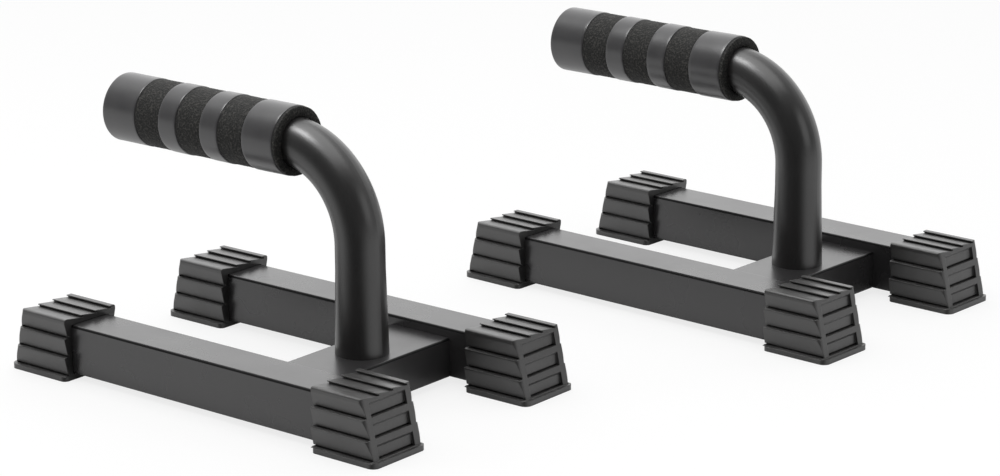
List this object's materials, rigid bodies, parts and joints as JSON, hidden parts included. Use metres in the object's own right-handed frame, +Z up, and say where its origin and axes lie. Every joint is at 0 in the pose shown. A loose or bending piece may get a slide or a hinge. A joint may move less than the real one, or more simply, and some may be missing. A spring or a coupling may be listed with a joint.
{
  "type": "pair of push-up bars",
  "caption": "Free-standing push-up handles: a bent steel tube with a banded foam grip rises from a low base of square rails with stepped rubber feet.",
  "frame": {"origin": "on the floor, under the middle of the box round both bars as they stand in the picture", "axes": "+X along the left bar's rails, from the grip's free end towards the post; +Y across the rails, from the left bar to the right bar; +Z up"},
  "size_m": [0.3392, 0.4252, 0.1456],
  "materials": {
    "handle_steel": "satin black powder coat",
    "base_steel": "satin black powder coat",
    "plain_steel": "zinc plated",
    "screw_steel": "black oxide",
    "plug_plastic": "moulded black plastic",
    "grip_foam": "open porous black foam",
    "grip_skin": "smooth satin grey skin",
    "foot_rubber": "matte dark grey moulded rubber"
  },
  "bodies": {
    "left_bar": {"left_near_rail": "base_steel", "left_far_rail": "base_steel", "left_cross_member": "base_steel", "left_handle_tube": "handle_steel", "left_post_insert": "plain_steel", "left_post_washer": "plain_steel", "left_post_screw": "screw_steel", "left_handle_plug": "plug_plastic", "left_grip_core": "grip_foam", "left_grip_outer_sleeve": "grip_skin", "left_grip_outer_ring": "grip_skin", "left_grip_inner_ring": "grip_skin", "left_grip_inner_sleeve": "grip_skin", "left_foot_near_grip_end": "foot_rubber", "left_foot_far_grip_end": "foot_rubber", "left_foot_near_post_end": "foot_rubber", "left_foot_far_post_end": "foot_rubber"},
    "right_bar": {"right_near_rail": "base_steel", "right_far_rail": "base_steel", "right_cross_member": "base_steel", "right_handle_tube": "handle_steel", "right_post_insert": "plain_steel", "right_post_washer": "plain_steel", "right_post_screw": "screw_steel", "right_handle_plug": "plug_plastic", "right_grip_core": "grip_foam", "right_grip_outer_sleeve": "grip_skin", "right_grip_outer_ring": "grip_skin", "right_grip_inner_ring": "grip_skin", "right_grip_inner_sleeve": "grip_skin", "right_foot_near_grip_end": "foot_rubber", "right_foot_far_grip_end": "foot_rubber", "right_foot_near_post_end": "foot_rubber", "right_foot_far_post_end": "foot_rubber"}
  },
  "joints": [
    {"name": "bar_spacing", "type": "slide", "parent": "left_bar", "child": "right_bar", "axis": [0, 1, 0], "range_m": [-0.09, 0.4]}
  ]
}
